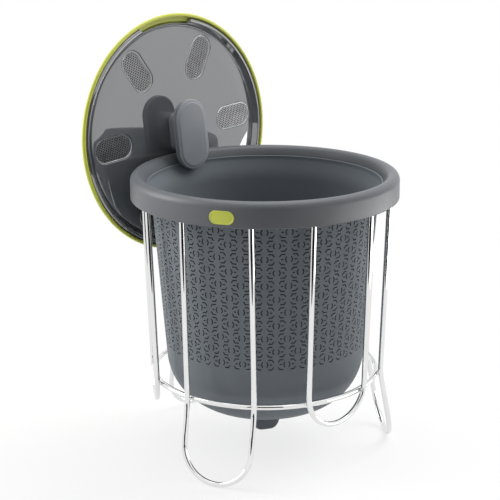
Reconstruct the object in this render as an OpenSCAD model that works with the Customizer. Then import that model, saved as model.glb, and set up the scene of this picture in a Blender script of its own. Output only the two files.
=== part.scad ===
// Kitchen compost caddy: a soft inverting bucket with a stiff collar, in a
// wire stand, with its filter lid parked on the rim by the lid's own handle.
// Millimetres, +Z up, the stand's axis is X=0 Y=0, the floor is Z=0, and the
// collar's badge faces -Y.

/* [Collar and bucket] */
// Height of the collar's crest above the floor
rim_h = 252.7; // [240:0.1:275]
// Outer radius of the collar
collar_r = 118; // [100:0.1:130]
// Width of the rim, from the collar's outside in to the mouth
rim_w = 15.8; // [15:0.1:20]
// Height of the collar band, from its lower edge to its crest
collar_h = 21.8; // [19:0.1:26]
// Radius of the collar's rounded crest
crest_r = 6; // [5:0.1:6.5]
// Wall of the soft bucket
bucket_wall = 3; // [2:0.1:4]
// Step from the mouth in to the bucket's outer surface under its shoulder
mouth_step = 2.2; // [1.5:0.1:6]
// Inward lean of the bucket's wall, in degrees
wall_lean = 4.4; // [3:0.1:6]
// Radius of the bucket's rounded bottom corner
bottom_round = 54; // [44:0.5:58]
// Height of the bucket's bottom above the floor
bottom_h = 37; // [33:0.5:50]
// Width of the grip under the bottom, which pushes the bucket inside out
grip_w = 27; // [20:0.5:36]
// Thickness of the grip
grip_t = 15; // [10:0.5:20]
// Drop of the grip below the bottom
grip_drop = 27; // [18:0.5:30]
// Turn of the grip about the axis, in degrees
grip_turn = 36; // [0:1:90]
// Width of the collar's badge
badge_w = 21.5; // [16:0.5:28]
// Height of the collar's badge
badge_h = 11.5; // [8:0.5:12]

/* [Wire stand] */
// Diameter of the round wire
wire_d = 4.8; // [4:0.1:5]
// Draw of the lower ring in from the legs' tops
ring_draw = 9.5; // [6:0.1:13]
// Height of the lower ring's centre line
ring_h = 71; // [60:0.5:80]
// Spread of the feet out from the legs' tops
foot_spread = 3.3; // [-2:0.1:15]
// Width of each wire loop between centre lines
loop_w = 62; // [50:0.5:70]
// Height of the short loops' lowest centre line
short_h = 47.8; // [30:0.2:55]
// Turn of the stand under the bucket, in degrees
stand_turn = -5; // [-15:1:15]

/* [Lid] */
// Overlap of the lid's rim beyond the mouth
lid_overlap = 7.2; // [6:0.1:9]
// Depth of the tray's skirt below its flange
skirt_h = 13; // [11:0.5:18]
// Thickness of the top plate
plate_t = 2.4; // [1.8:0.1:2.6]
// Rise of the top plate's raised lip above its face
lip_rise = 4.2; // [3:0.1:4.5]
// Thickness of the charcoal filter
filter_t = 6; // [4:0.1:6.4]
// Length of each vent slot
vent_l = 42.4; // [36:0.2:43]
// Width of each vent slot
vent_w = 23; // [16:0.2:25]
// Distance from the vents' outer ends to the edge of the face
vent_edge = 1.6; // [1.4:0.1:6]
// Width of the finger notch in the top plate's lip
notch_w = 58; // [40:1:70]
// Depth of the finger notch
notch_d = 6; // [4:0.1:6.2]

/* [Lid parked on the rim] */
// Direction of the parked lid's face about the axis, in degrees
park_turn = 61; // [30:1:85]
// Height of the parked lid's centre above the crest
park_rise = 17.8; // [17:0.1:24]
// Backward lean of the parked lid, in degrees
park_lean = 2.5; // [2:0.1:3]
// Roll of the parked lid about its own axis, in degrees
park_roll = 4.5; // [0:0.5:8]
// Gap between the parked lid's face and the collar
park_gap = 0.3; // [0.3:0.05:0.8]

/* [Lid handle] */
// Play of the rim between the lid's face and the handle's plate
hook_play = 2.5; // [2.3:0.1:4]
// Width of the handle's plate
grip_plate_w = 36; // [30:0.5:38]
// Length of the handle's plate
grip_plate_l = 65; // [56:0.5:65]
// Thickness of the handle's back half
back_t = 3.6; // [3:0.1:4.4]
// Thickness of the handle's cap
cap_t = 3.2; // [2.6:0.1:4]
// Width of the handle's stem
stem_w = 14; // [10:0.5:16]
// Distance between the handle's screws
screw_gap = 16; // [14:0.5:18]

/* [Hidden] */
$fn = 96;

// Clearances and small shared sizes
seat_gap = 0.3;          // between pieces of different bodies
fit_gap = 0.2;           // between a piece and the pocket that holds it
weld_bite = 0.15;        // wire sunk into wire at a weld
edge = 0.01;             // overshoot of a cut
trim_r = 1.2;            // small edge rounding

// Bucket radii, from the collar in, and heights, from the crest down
mouth_r = collar_r - rim_w;
bucket_top_r = mouth_r - mouth_step;
shoulder_t = bucket_wall;
lip_t = 1.9;
lip_drop = 8.1;
shoulder_drop = 14.5;
lip_top = rim_h - lip_drop;
shoulder_top = rim_h - shoulder_drop;
shoulder_low = shoulder_top - shoulder_t;
lip_r = mouth_r + lip_t;
skirt_wall = 4.5;
flange_r = collar_r - skirt_wall - fit_gap;
bottom_c = bottom_h + bottom_round;

// Stand heights and radii
leg_clear = 1.4;
leg_top_r = collar_r - skirt_wall - leg_clear - wire_d / 2;
ring_r = leg_top_r - ring_draw;
foot_r = leg_top_r + foot_spread;
top_ring_h = shoulder_low - seat_gap - wire_d / 2;
top_ring_r = leg_top_r - wire_d + weld_bite;
leg_ring_r = ring_r + wire_d - weld_bite;
half_w = loop_w / 2;
leg_top_y = sqrt(leg_top_r * leg_top_r - half_w * half_w);
leg_ring_y = sqrt(leg_ring_r * leg_ring_r - half_w * half_w);
leg_lean = atan((leg_top_y - leg_ring_y) / (top_ring_h - ring_h));
foot_lean = atan((foot_r - leg_ring_y) / (ring_h - wire_d / 2));
loops = 3;
loop_step = 360 / loops;
bend_lap = 0.4;          // legs run past each other at the bend

// Lid radii, and levels from the plane of the tray's flange up
lid_r = mouth_r + lid_overlap;
face_z = 0.8;
flange_t = 4.6;
web_z = 0.8;
tray_lip_w = 3.5;
pocket_r = lid_r - tray_lip_w;
lip_top_z = face_z + lip_rise;
lip_outer_r = pocket_r - 1.3;
lip_crest_r = lip_outer_r - 2.3;
channel_r = lip_crest_r - 3.9;
channel_z = face_z - 2;
face_r = channel_r - 2.6;
step_r = lip_crest_r - 0.1;
step_z = channel_z - 1.8;
under_r = step_r - fit_gap;
skirt_in_r = step_r - 2.8;
skirt_out_r = mouth_r - 0.8;
neck_r = mouth_r + 1.4;
neck_z = -6.2;
floor_t = 2;
floor_z = -skirt_h;
filter_r = skirt_in_r - 1;
filter_z = floor_z + floor_t + fit_gap;
vents = 6;
vent_step = 360 / vents;
vent_first = 30;
vent_circle_r = face_r - vent_edge - vent_l / 2;
screen_t = 1.2;
screen_rim = 1.6;
press_gap = 8;
press_w = 2;
press_r = vent_circle_r - vent_l / 2 - screen_rim - press_gap;
bars = 5;
bar_w = 1.4;

// Handle levels, from the tray's flange plane up
hook_gap = rim_w + hook_play;
back_z = face_z + hook_gap;
cap_gap = 0.9;
cap_z = back_z + back_t;
stem_drop = park_rise;
screw_r = 1.5;
screw_head_r = 2.8;
screw_head_t = 1.8;
screw_l = 14;

// Place of the parked lid: its leaning face clears the collar's low edge
park_h = rim_h + park_rise;
band_h = rim_h - collar_h + trim_r;
face_reach = collar_r + park_gap + (park_h - band_h) * tan(park_lean);
park_reach = (face_reach + face_z) / cos(park_lean);

// ---------- shared shapes ----------

// Points along an arc of a half section, both ends included
function arc_points(x, z, r, from, to, steps) = [
    for (i = [0 : steps])
        let (a = from + (to - from) * i / steps)
            [x + r * cos(a), z + r * sin(a)]
];

// A slot with round ends, centred, long along Y
module slot_2d(w, l) {
    square([w, l - w], center = true);
    translate([0, (l - w) / 2])
        circle(d = w);
    translate([0, (w - l) / 2])
        circle(d = w);
}

// Places a lid piece where the lid is parked
module parked() {
    rotate([0, 0, park_turn])
        translate([0, park_reach, park_h])
            rotate([90 - park_lean, 0, 0])
                rotate([0, 0, park_roll])
                    children();
}

// ---------- wire stand ----------

module wire_ring(r, h) {
    translate([0, 0, h])
        rotate_extrude()
            translate([r, 0])
                circle(d = wire_d);
}

// Two parallel legs that rise from a half turn at the bottom
module wire_hairpin(leg) {
    for (side = [-1, 1])
        translate([side * half_w, 0, 0])
            cylinder(d = wire_d, h = leg);
    rotate([-90, 0, 0])
        rotate_extrude(angle = 180)
            translate([half_w, 0])
                circle(d = wire_d);
}

// A loop whose round end hangs just below the lower ring
module short_loop(turn) {
    bend_h = short_h + half_w * cos(leg_lean);
    bend_y = leg_ring_y + (bend_h - ring_h) * tan(leg_lean);
    rise = top_ring_h + wire_d / 2 - bend_h;
    color("silver")
        rotate([0, 0, stand_turn + turn])
            translate([0, -bend_y, bend_h])
                rotate([leg_lean, 0, 0])
                    wire_hairpin(rise / cos(leg_lean));
}

// A loop that flares out below the lower ring and stands on the floor
module floor_loop(turn) {
    bend_h = wire_d / 2 + half_w * cos(foot_lean);
    bend_y = foot_r - half_w * sin(foot_lean);
    rise = top_ring_h + wire_d / 2 - ring_h;
    color("silver")
        rotate([0, 0, stand_turn + turn]) {
            translate([0, -bend_y, bend_h])
                rotate([-foot_lean, 0, 0])
                    wire_hairpin((ring_h - bend_h) / cos(foot_lean) + bend_lap);
            for (side = [-1, 1])
                translate([side * half_w, -leg_ring_y, ring_h])
                    rotate([leg_lean, 0, 0])
                        translate([0, 0, -bend_lap])
                            cylinder(d = wire_d, h = rise / cos(leg_lean) + bend_lap);
        }
}

module top_ring() {
    color("silver")
        wire_ring(top_ring_r, top_ring_h);
}

module lower_ring() {
    color("silver")
        wire_ring(ring_r, ring_h);
}

// ---------- bucket ----------

// Half section of the bucket's body, inset from its outer surface
module body_2d(inset) {
    tangent_h = bottom_c - bottom_round * sin(wall_lean);
    centre_r = bucket_top_r - (shoulder_low - tangent_h) * tan(wall_lean)
        - bottom_round * cos(wall_lean);
    round_r = bottom_round - inset;
    rim_r = centre_r + round_r * cos(wall_lean)
        + (shoulder_top - bottom_c + round_r * sin(wall_lean)) * tan(wall_lean);
    polygon(concat(
        [[0, shoulder_top], [0, bottom_h + inset]],
        arc_points(centre_r, bottom_c, round_r, -90, -wall_lean, 16),
        [[rim_r, shoulder_top]]
    ));
}

// The flexible bucket: thin wall, shoulder that sits on the top ring, lip
module bucket_shell() {
    color([0.33, 0.36, 0.38]) {
        rotate_extrude() {
            difference() {
                body_2d(0);
                body_2d(bucket_wall);
            }
            shoulder_in_r = bucket_top_r - bucket_wall / 2;
            translate([shoulder_in_r, shoulder_low])
                square([flange_r - shoulder_in_r, shoulder_t]);
            translate([mouth_r, shoulder_low])
                square([lip_t, lip_top - shoulder_low]);
        }
        rotate([0, 0, grip_turn])
            bottom_grip();
    }
}

// The block under the bottom, with rounded lower corners
module bottom_grip() {
    corner_r = grip_t / 3;
    translate([0, grip_t / 2, bottom_h - grip_drop])
        rotate([90, 0, 0])
            linear_extrude(grip_t) {
                translate([-grip_w / 2, corner_r])
                    square([grip_w, grip_drop + bucket_wall / 2 - corner_r]);
                translate([corner_r - grip_w / 2, 0])
                    square([grip_w - 2 * corner_r, grip_drop]);
                for (side = [-1, 1])
                    translate([side * (grip_w / 2 - corner_r), corner_r])
                        circle(r = corner_r);
            }
}

// Prism behind the badge's outline, grown by a clearance
module badge_prism(grow) {
    badge_c = rim_h - collar_h * 0.6;
    translate([0, 0, badge_c])
        rotate([90, 90, 0])
            linear_extrude(collar_r * 1.2)
                slot_2d(badge_h + 2 * grow, badge_w + 2 * grow);
}

// Half section of the collar: upright skirt, round crest, sloped inner side
module collar_2d() {
    low = rim_h - collar_h;
    crest_c = rim_h - crest_r;
    crest_x = collar_r - crest_r;
    slope_r = lip_r + fit_gap;
    slope_low = lip_top + fit_gap;
    run = crest_x - slope_r;
    drop = crest_c - slope_low;
    meet_a = 180 + atan(drop / run) - acos(crest_r / sqrt(run * run + drop * drop));
    skirt_in = flange_r + fit_gap;
    polygon(concat(
        [[slope_r, shoulder_top], [slope_r, slope_low]],
        arc_points(crest_x, crest_c, crest_r, meet_a, 0, 14),
        arc_points(collar_r - trim_r, low + trim_r, trim_r, 0, -90, 5),
        [[skirt_in, low], [skirt_in, shoulder_top]]
    ));
}

module rim_collar() {
    pocket_t = 1.4;
    color([0.35, 0.36, 0.38])
        difference() {
            rotate_extrude()
                collar_2d();
            intersection() {
                badge_prism(fit_gap);
                rotate_extrude()
                    translate([collar_r - pocket_t, rim_h - collar_h])
                        square([pocket_t * 2, collar_h]);
            }
        }
}

// The badge: a plain slot-shaped inlay, a little proud of the collar
module collar_badge() {
    sunk = 1.4;
    proud = 0.5;
    color([0.72, 0.78, 0.2])
        intersection() {
            badge_prism(0);
            rotate_extrude()
                translate([collar_r - sunk, rim_h - collar_h])
                    square([sunk + proud, collar_h]);
        }
}

// ---------- lid ----------

// Half section of the top plate's upper side, from the axis out to the lip
function plate_top() = [
    [0, face_z], [face_r, face_z], [face_r + 1.4, face_z - 0.6],
    [face_r + 2, channel_z], [channel_r, channel_z],
    [channel_r + 0.9, channel_z + 0.8], [lip_crest_r - 1.8, lip_top_z - 1.2],
    [lip_crest_r - 1, lip_top_z - 0.2], [lip_crest_r, lip_top_z],
    [lip_crest_r + 1.4, lip_top_z - 0.5], [lip_outer_r, lip_top_z - 1.6],
    [lip_outer_r, web_z + fit_gap]
];

// Its underside, from the lip back to the axis
function plate_under() = [
    [under_r, web_z + fit_gap], [under_r, step_z + fit_gap],
    [face_r + 1.4, step_z + fit_gap], [face_r + 0.4, face_z - plate_t],
    [0, face_z - plate_t]
];

module vent_place(i) {
    rotate([0, 0, vent_first + i * vent_step])
        translate([0, vent_circle_r, 0])
            children();
}

// The glossy top plate: raised lip, channel, face with vents, finger notch
module lid_top_plate() {
    color([0.45, 0.46, 0.48])
        parked()
            difference() {
                union() {
                    rotate_extrude()
                        polygon(concat(plate_top(), plate_under()));
                    translate([0, 0, filter_z + filter_t + fit_gap])
                        press_ring();
                }
                for (i = [0 : vents - 1])
                    vent_place(i)
                        translate([0, 0, face_z - plate_t - edge])
                            linear_extrude(plate_t + 2 * edge)
                                slot_2d(vent_w, vent_l);
                translate([-notch_w / 2, lip_outer_r - notch_d, web_z - skirt_h])
                    cube([notch_w, notch_d * 2, skirt_h * 2]);
                for (side = [-1, 1])
                    translate([0, side * screw_gap / 2, face_z - plate_t - edge])
                        cylinder(r = screw_r + fit_gap, h = plate_t + 2 * edge);
            }
}

// Ring under the plate that holds the filter down
module press_ring() {
    press_h = face_z - plate_t - filter_z - filter_t - fit_gap + edge;
    difference() {
        cylinder(r = press_r, h = press_h);
        translate([0, 0, -edge])
            cylinder(r = press_r - press_w, h = press_h + 2 * edge);
    }
}

// One screen: a barred slot plate with a rim that seats under the top plate
module vent_screen(i) {
    bar_step = vent_w * 0.82 / bars;
    gap_w = bar_step - bar_w;
    color([0.75, 0.76, 0.78])
        parked()
            vent_place(i)
                difference() {
                    union() {
                        translate([0, 0, face_z - plate_t - fit_gap])
                            linear_extrude(plate_t)
                                slot_2d(vent_w - 2 * fit_gap, vent_l - 2 * fit_gap);
                        translate([0, 0, face_z - plate_t - screen_t])
                            linear_extrude(screen_t)
                                slot_2d(vent_w + 2 * screen_rim, vent_l + 2 * screen_rim);
                    }
                    for (n = [0 : bars - 1])
                        translate([(n - (bars - 1) / 2) * bar_step, 0, -plate_t * 2])
                            linear_extrude(plate_t * 4)
                                slot_2d(gap_w, vent_l - vent_w * 0.55);
                }
}

// The tray under the top plate: rim ring, skirt that plugs the mouth, grille
module lid_tray() {
    rim_c = flange_t / 2 + 0.2;
    rim_r = flange_t / 2 - 0.2;
    slot_in = 24;
    slot_out = filter_r - 12;
    color([0.7, 0.76, 0.2])
        parked()
            difference() {
                rotate_extrude() {
                    translate([lid_r - rim_r, rim_c])
                        circle(r = rim_r);
                    polygon([
                        [pocket_r, flange_t], [pocket_r, web_z], [step_r, web_z],
                        [step_r, step_z], [skirt_in_r, step_z],
                        [skirt_in_r, floor_z + floor_t], [0, floor_z + floor_t],
                        [0, floor_z], [skirt_out_r - 1, floor_z],
                        [skirt_out_r, floor_z + 1], [skirt_out_r, neck_z - 0.8],
                        [neck_r, neck_z], [neck_r + 0.6, neck_z + 1],
                        [lid_r - rim_r, rim_c - rim_r],
                        [lid_r - rim_r, rim_c + rim_r]
                    ]);
                }
                for (i = [0 : 2 * vents - 1])
                    rotate([0, 0, i * vent_step / 2])
                        translate([0, (slot_in + slot_out) / 2, floor_z - edge])
                            linear_extrude(floor_t + 2 * edge)
                                slot_2d(8, slot_out - slot_in);
            }
}

module charcoal_filter() {
    color([0.13, 0.13, 0.13])
        parked()
            translate([0, 0, filter_z])
                cylinder(r = filter_r, h = filter_t);
}

// ---------- handle ----------

// Stem and back half of the plate
module handle_body() {
    groove_w = 0.8;
    color([0.36, 0.38, 0.4])
        parked()
            difference() {
                union() {
                    translate([0, 0, face_z])
                        linear_extrude(hook_gap + edge)
                            slot_2d(stem_w, 2 * stem_drop);
                    translate([0, 0, back_z])
                        linear_extrude(back_t)
                            slot_2d(grip_plate_w, grip_plate_l);
                    translate([0, 0, back_z + back_t - edge])
                        linear_extrude(cap_gap)
                            slot_2d(grip_plate_w - 2 * groove_w, grip_plate_l - 2 * groove_w);
                }
                for (side = [-1, 1])
                    translate([0, side * screw_gap / 2, face_z - edge])
                        cylinder(r = screw_r, h = screw_l);
            }
}

// Front half of the plate, with a narrow step round its face
module handle_cap() {
    step_w = 1.4;
    step_h = 0.8;
    color([0.4, 0.42, 0.44])
        parked()
            translate([0, 0, cap_z + cap_gap]) {
                linear_extrude(cap_t - cap_gap)
                    slot_2d(grip_plate_w, grip_plate_l);
                translate([0, 0, cap_t - cap_gap - edge])
                    linear_extrude(step_h)
                        slot_2d(grip_plate_w - 2 * step_w, grip_plate_l - 2 * step_w);
            }
}

// Two pan-head screws from under the top plate into the stem
module handle_screws() {
    color("gray")
        parked()
            for (side = [-1, 1])
                translate([0, side * screw_gap / 2, face_z - plate_t]) {
                    translate([0, 0, -screw_head_t])
                        cylinder(r = screw_head_r, h = screw_head_t);
                    cylinder(r = screw_r, h = plate_t + screw_l - 2);
                }
}

top_ring();
lower_ring();
floor_loop(0);  // floor_loop_1
floor_loop(loop_step);  // floor_loop_2
floor_loop(2 * loop_step);  // floor_loop_3
short_loop(loop_step / 2);  // short_loop_1
short_loop(1.5 * loop_step);  // short_loop_2
short_loop(2.5 * loop_step);  // short_loop_3
bucket_shell();
rim_collar();
collar_badge();
lid_top_plate();
vent_screen(0);  // vent_screen_1
vent_screen(1);  // vent_screen_2
vent_screen(2);  // vent_screen_3
vent_screen(3);  // vent_screen_4
vent_screen(4);  // vent_screen_5
vent_screen(5);  // vent_screen_6
handle_body();
handle_cap();
handle_screws();
lid_tray();
charcoal_filter();
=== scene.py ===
"""Kitchen compost caddy with its lid parked on the rim, dressed for rendering.

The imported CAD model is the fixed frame.  Every class below holds the sizes of
one sub-assembly in millimetres, builds its meshes with bmesh operators in that
frame, and gives them procedural finishes.
"""

import logging
import math

from dataclasses import dataclass, field, replace
from enum import Enum
from typing import Any, Callable, Iterable, Sequence

import bmesh
import bpy
from mathutils import Matrix, Vector


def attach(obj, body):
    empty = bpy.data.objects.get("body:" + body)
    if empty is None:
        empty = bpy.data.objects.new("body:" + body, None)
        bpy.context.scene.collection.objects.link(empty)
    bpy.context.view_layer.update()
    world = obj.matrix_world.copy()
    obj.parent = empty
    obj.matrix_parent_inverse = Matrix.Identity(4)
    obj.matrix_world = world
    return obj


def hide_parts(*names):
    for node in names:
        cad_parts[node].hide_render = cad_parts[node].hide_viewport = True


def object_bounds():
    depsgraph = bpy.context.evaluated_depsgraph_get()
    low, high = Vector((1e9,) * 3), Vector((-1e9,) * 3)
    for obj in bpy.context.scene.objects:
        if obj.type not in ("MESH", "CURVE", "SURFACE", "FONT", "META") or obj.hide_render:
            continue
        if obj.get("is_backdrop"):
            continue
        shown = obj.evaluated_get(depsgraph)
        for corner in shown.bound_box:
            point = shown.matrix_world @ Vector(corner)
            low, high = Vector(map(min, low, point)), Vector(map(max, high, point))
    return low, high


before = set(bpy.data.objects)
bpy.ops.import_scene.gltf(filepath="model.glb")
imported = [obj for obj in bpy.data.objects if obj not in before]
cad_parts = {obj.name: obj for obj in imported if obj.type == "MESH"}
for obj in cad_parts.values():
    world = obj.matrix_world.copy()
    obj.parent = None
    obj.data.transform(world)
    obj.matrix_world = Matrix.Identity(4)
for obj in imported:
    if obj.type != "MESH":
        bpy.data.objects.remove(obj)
CAD_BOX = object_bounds()
MM = 0.001
Point2 = tuple[float, float]
Colour = tuple[float, float, float]

logging.basicConfig(level=logging.INFO, format="%(message)s")
LOG = logging.getLogger("caddy")


class Body(Enum):
    """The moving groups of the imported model."""

    STAND = "stand"
    BUCKET = "bucket"
    LID = "lid"
    TRAY = "tray"


class Side(Enum):
    """Which way a mirrored motif or leg points."""

    LEFT = -1
    RIGHT = 1


# ---------------------------------------------------------------- shader maths


def _operator(name: str, reflected: bool = False) -> Callable[["Wire", Any], "Wire"]:
    """Make an arithmetic method that adds one Math node.

    Args:
        name: The Math node's operation.
        reflected: Whether the wire is the second of the two values.

    Returns:
        The method.
    """

    def method(wire: "Wire", other: Any) -> "Wire":
        """Join a wire with a number or another wire."""
        first, second = (other, wire) if reflected else (wire, other)
        return wire.shader.node("ShaderNodeMath", {"operation": name}, {0: first, 1: second})

    return method


class Wire:
    """A shader socket that takes part in Python arithmetic."""

    def __init__(self, shader: "Shader", socket: bpy.types.NodeSocket) -> None:
        """Wrap one output socket of a shader's node."""
        self.shader = shader
        self.socket = socket

    __add__ = _operator("ADD")
    __radd__ = _operator("ADD", reflected=True)
    __sub__ = _operator("SUBTRACT")
    __rsub__ = _operator("SUBTRACT", reflected=True)
    __mul__ = _operator("MULTIPLY")
    __rmul__ = _operator("MULTIPLY", reflected=True)
    __truediv__ = _operator("DIVIDE")

    def clamped(self) -> "Wire":
        """Hold the value between 0 and 1."""
        return self.shader.node("ShaderNodeMath", {"operation": "ADD", "use_clamp": True}, {0: self, 1: 0.0})


class Shader:
    """A node tree under construction, for a material or the world."""

    def __init__(self, tree: bpy.types.NodeTree) -> None:
        """Start from an empty tree."""
        self.tree = tree
        tree.nodes.clear()

    def node(
        self,
        kind: str,
        settings: dict[str, Any] | None = None,
        inputs: dict[Any, Any] | None = None,
        output: Any = 0,
    ) -> Wire:
        """Add one node with its settings and its inputs.

        Args:
            kind: The node's type name.
            settings: Properties set before the inputs.
            inputs: Values or wires by socket name or index.
            output: Name or index of the output that is returned.

        Returns:
            The wire of the chosen output.
        """
        made = self.tree.nodes.new(kind)
        for key, value in (settings or {}).items():
            setattr(made, key, value)
        for key, value in (inputs or {}).items():
            if isinstance(value, Wire):
                self.tree.links.new(value.socket, made.inputs[key])
            else:
                made.inputs[key].default_value = value
        return Wire(self, made.outputs[output]) if made.outputs else Wire(self, None)

    def place(self) -> Wire:
        """The point on the object, in metres."""
        return self.node("ShaderNodeTexCoord", output="Object")

    def noise(self, scale: float, detail: float = 3.0, roughness: float = 0.5, where: Wire | None = None) -> Wire:
        """A noise value from 0 to 1."""
        inputs = {"Vector": where or self.place(), "Scale": scale, "Detail": detail, "Roughness": roughness}
        return self.node("ShaderNodeTexNoise", {}, inputs)

    def stretch(self, factors: tuple[float, float, float]) -> Wire:
        """The point on the object, scaled by axis."""
        return self.node("ShaderNodeMapping", {}, {"Vector": self.place(), "Scale": factors})

    def blend(self, factor: Any, first: Any, second: Any) -> Wire:
        """Mix two colours.

        Args:
            factor: The share of the second colour.
            first: Colour or wire.
            second: Colour or wire.

        Returns:
            The mixed colour.
        """
        first, second = ((*c, 1.0) if isinstance(c, tuple) else c for c in (first, second))
        settings = {"data_type": "RGBA", "blend_type": "MIX"}
        return self.node("ShaderNodeMix", settings, {0: factor, 6: first, 7: second}, 2)

    def band(self, value: Wire, low: float, high: float) -> Wire:
        """A smooth step from 0 at one value to 1 at another."""
        settings = {"interpolation_type": "SMOOTHSTEP"}
        return self.node("ShaderNodeMapRange", settings, {0: value, 1: low, 2: high})

    def bump(self, height: Wire, depth: float) -> Wire:
        """A normal bumped by a height from 0 to 1, whose full step is a depth in metres."""
        return self.node("ShaderNodeBump", {}, {"Height": height, "Distance": depth, "Strength": 1.0}, "Normal")

    def length(self, where: Wire, origin: Sequence[float] = (0.0, 0.0, 0.0)) -> Wire:
        """Distance of a point from an origin."""
        return self.node("ShaderNodeVectorMath", {"operation": "DISTANCE"}, {0: where, 1: origin}, "Value")


def bare_material(name: str) -> tuple[bpy.types.Material, Shader]:
    """Make a material whose node tree is still empty.

    Args:
        name: The material's name.

    Returns:
        The material and its shader.
    """
    made = bpy.data.materials.new(name)
    made.use_nodes = True
    return made, Shader(made.node_tree)


def srgb(red: float, green: float, blue: float) -> Colour:
    """Turn display colours from 0 to 255 into linear ones.

    Args:
        red: Display red.
        green: Display green.
        blue: Display blue.

    Returns:
        The linear colour.
    """

    def linear(value: float) -> float:
        """One channel."""
        share = value / 255
        return share / 12.92 if share <= 0.04045 else ((share + 0.055) / 1.055) ** 2.4

    return linear(red), linear(green), linear(blue)


# -------------------------------------------------------------------- finishes


@dataclass(frozen=True)
class Finish:
    """A procedural material; subclasses describe one real finish each."""

    label: str
    colour: Colour = (0.5, 0.5, 0.5)

    def dress(self, shader: Shader) -> dict[str, Any]:
        """Give the inputs of the surface shader."""
        raise NotImplementedError

    def tint(self, factor: float) -> Colour:
        """The finish's colour, darker below 1 and paler above it."""
        return tuple(c * factor for c in self.colour)

    def material(self) -> bpy.types.Material:
        """Make the material once, and return the same one after that.

        Returns:
            The material.
        """
        name = f"{self.label}_finish"
        made = bpy.data.materials.get(name)
        if made:
            return made
        made, shader = bare_material(name)
        surface = shader.node("ShaderNodeBsdfPrincipled", {}, self.dress(shader))
        shader.node("ShaderNodeOutputMaterial", {}, {"Surface": surface})
        return made


@dataclass(frozen=True)
class ChromedWire(Finish):
    """Bright chrome with faint drawing marks and handling haze."""

    colour: Colour = (0.83, 0.835, 0.83)
    haze: float = 0.03
    depth: float = 0.000004

    def dress(self, shader: Shader) -> dict[str, Any]:
        """Metal whose gloss and tone drift a little along the wire.

        Args:
            shader: The material's shader.

        Returns:
            The surface shader's inputs.
        """
        haze = shader.noise(60, 4)
        marks = shader.noise(420, 2, 0.6, shader.stretch((6, 6, 0.35)))
        return {
            "Base Color": shader.blend(haze, self.colour, self.tint(0.9)),
            "Metallic": 1.0,
            "Roughness": 0.015 + haze * self.haze + marks * 0.02,
            "Normal": shader.bump(marks, self.depth),
        }


@dataclass(frozen=True)
class SoftPlastic(Finish):
    """Satin moulded plastic or silicone with a fine grain."""

    colour: Colour = (0.1, 0.1, 0.1)
    mottle: float = 0.12
    rough: float = 0.5
    rough_drift: float = 0.1
    grain: float = 1500
    depth: float = 0.00003
    specular: float = 0.5
    # The wall's cone and heights, in metres, that place the painted shade in the strokes.
    cone: tuple[float, float, float, float, float] | None = None
    # Painted shade in the pressed strokes: its share and its darkness.
    pressed: tuple[float, float] = (0.72, 0.12)

    def _painted_stroke_shade(self, shader: Shader) -> Wire:
        """1 where the surface lies just under the wall's cone, as in a pressed stroke; the mask of the painted shade.

        Args:
            shader: The material's shader.

        Returns:
            The mask of the shade painted into the strokes.
        """
        base, slope, low, high, gap = self.cone
        height = shader.node("ShaderNodeSeparateXYZ", {}, {"Vector": shader.place()}, "Z")
        radius = shader.length(shader.stretch((1, 1, 0)))
        under = height * slope + base - radius
        inside = shader.band(height, low - 0.001, low) * shader.band(height, high + 0.001, high)
        return shader.band(under, gap * 0.3, gap) * shader.band(under, gap * 5, gap * 4) * inside

    def dress(self, shader: Shader) -> dict[str, Any]:
        """Colour clouds, dust in the grain, painted shade darkening the pressed strokes, and a grain bump.

        Args:
            shader: The material's shader.

        Returns:
            The surface shader's inputs.
        """
        clouds = shader.noise(28, 4, 0.55)
        grain = shader.noise(self.grain, 2, 0.6)
        tone = (clouds * 0.75 + grain * 0.25).clamped()
        colour = shader.blend(tone, self.tint(1 - self.mottle), self.tint(1 + self.mottle))
        if self.cone:
            # Painted shade: the pressed strokes get a darker colour that stands in for the shade in their grooves.
            share, level = self.pressed
            colour = shader.blend(self._painted_stroke_shade(shader) * share, colour, self.tint(level))
        return {
            "Base Color": colour,
            "Roughness": self.rough + (clouds - 0.5) * self.rough_drift + (grain - 0.5) * self.rough_drift,
            "Specular IOR Level": self.specular,
            "Normal": shader.bump(grain * 0.7 + clouds * 0.3, self.depth),
        }


@dataclass(frozen=True)
class GlossPlastic(Finish):
    """Polished moulded plastic; its index is above that of real plastic, for the photo's hard mirror."""

    colour: Colour = (0.03, 0.03, 0.03)
    ior: float = 2.76
    rough: float = 0.008
    centre: tuple[float, float, float] = (0.0, 0.0, 0.0)
    crown: tuple[float, float, float] = (0.082, 0.0965, 0.0022)

    def dress(self, shader: Shader) -> dict[str, Any]:
        """A dark body under a hard shine, smeared, with a face that falls away towards its edge.

        Args:
            shader: The material's shader.

        Returns:
            The surface shader's inputs.
        """
        smear = shader.noise(22, 5, 0.6, shader.stretch((1, 1, 0.5)))
        fine = shader.noise(900, 2)
        radius = shader.length(shader.place(), self.centre)
        start, end, fall = self.crown
        share = ((radius - start) / (end - start)).clamped()
        return {
            "Base Color": shader.blend(smear, self.tint(0.9), self.colour),
            "Roughness": self.rough + smear * 0.02 + fine * 0.006,
            "IOR": self.ior,
            "Normal": shader.bump(share * share * -1.0 + shader.noise(35, 2) * 0.02, fall),
        }


@dataclass(frozen=True)
class ScreenSteel(Finish):
    """Perforated stainless sheet, brushed and slightly stained."""

    colour: Colour = (0.54, 0.545, 0.555)

    def dress(self, shader: Shader) -> dict[str, Any]:
        """Metal with brushing and a few dull stains.

        Args:
            shader: The material's shader.

        Returns:
            The surface shader's inputs.
        """
        stain = shader.band(shader.noise(90, 4), 0.45, 0.7)
        brush = shader.noise(700, 3, 0.6, shader.stretch((1, 8, 1)))
        return {
            "Base Color": shader.blend(stain, self.colour, self.tint(0.72)),
            "Metallic": 1.0,
            "Roughness": 0.24 + brush * 0.14 + stain * 0.1,
            "Normal": shader.bump(brush, 0.00002),
        }


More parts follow.
